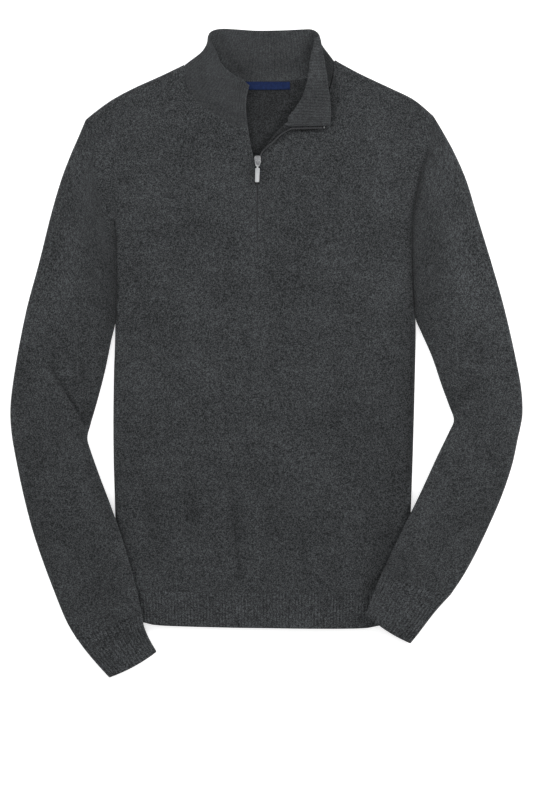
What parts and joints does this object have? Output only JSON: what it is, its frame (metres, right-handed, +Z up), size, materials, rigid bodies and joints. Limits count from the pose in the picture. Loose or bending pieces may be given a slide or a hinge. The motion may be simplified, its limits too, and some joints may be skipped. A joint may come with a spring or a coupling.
{
  "type": "quarter-zip sweater",
  "caption": "Quarter-zip knitted sweater laid flat with its front up: rib stand collar folded open on one side, long sleeves laid over the hem, rib cuffs and rib hem.",
  "frame": {"origin": "middle of the garment's plan, on the surface that it lies on", "axes": "+X to the right as the front is seen, +Y from the hem to the neck, +Z up out of the front"},
  "size_m": [0.6256, 0.7933, 0.0163],
  "materials": {
    "heather_knit": "matt heathered jersey knit, dark grey",
    "heather_rib": "matt heathered rib knit, dark grey",
    "zip_tape": "woven tape, near black",
    "nickel": "polished nickel plate",
    "navy_label": "smooth woven label, navy"
  },
  "bodies": {
    "sweater": {"back": "heather_knit", "front": "heather_knit", "sleeve_left": "heather_knit", "sleeve_right": "heather_knit", "hem_front": "heather_rib", "hem_back": "heather_rib", "cuff_left": "heather_rib", "cuff_right": "heather_rib", "collar": "heather_rib", "zip_tape_left": "zip_tape", "zip_tape_right": "zip_tape", "zip_slider": "nickel", "neck_label": "navy_label"},
    "pull_tab": {"zip_pull": "nickel"}
  },
  "joints": [
    {"name": "pull_tab_lift", "type": "hinge", "parent": "sweater", "child": "pull_tab", "pos_m": [-0.0109, 0.2338, 0.01065], "axis": [-1, 0, 0], "range_deg": [0, 160]}
  ]
}
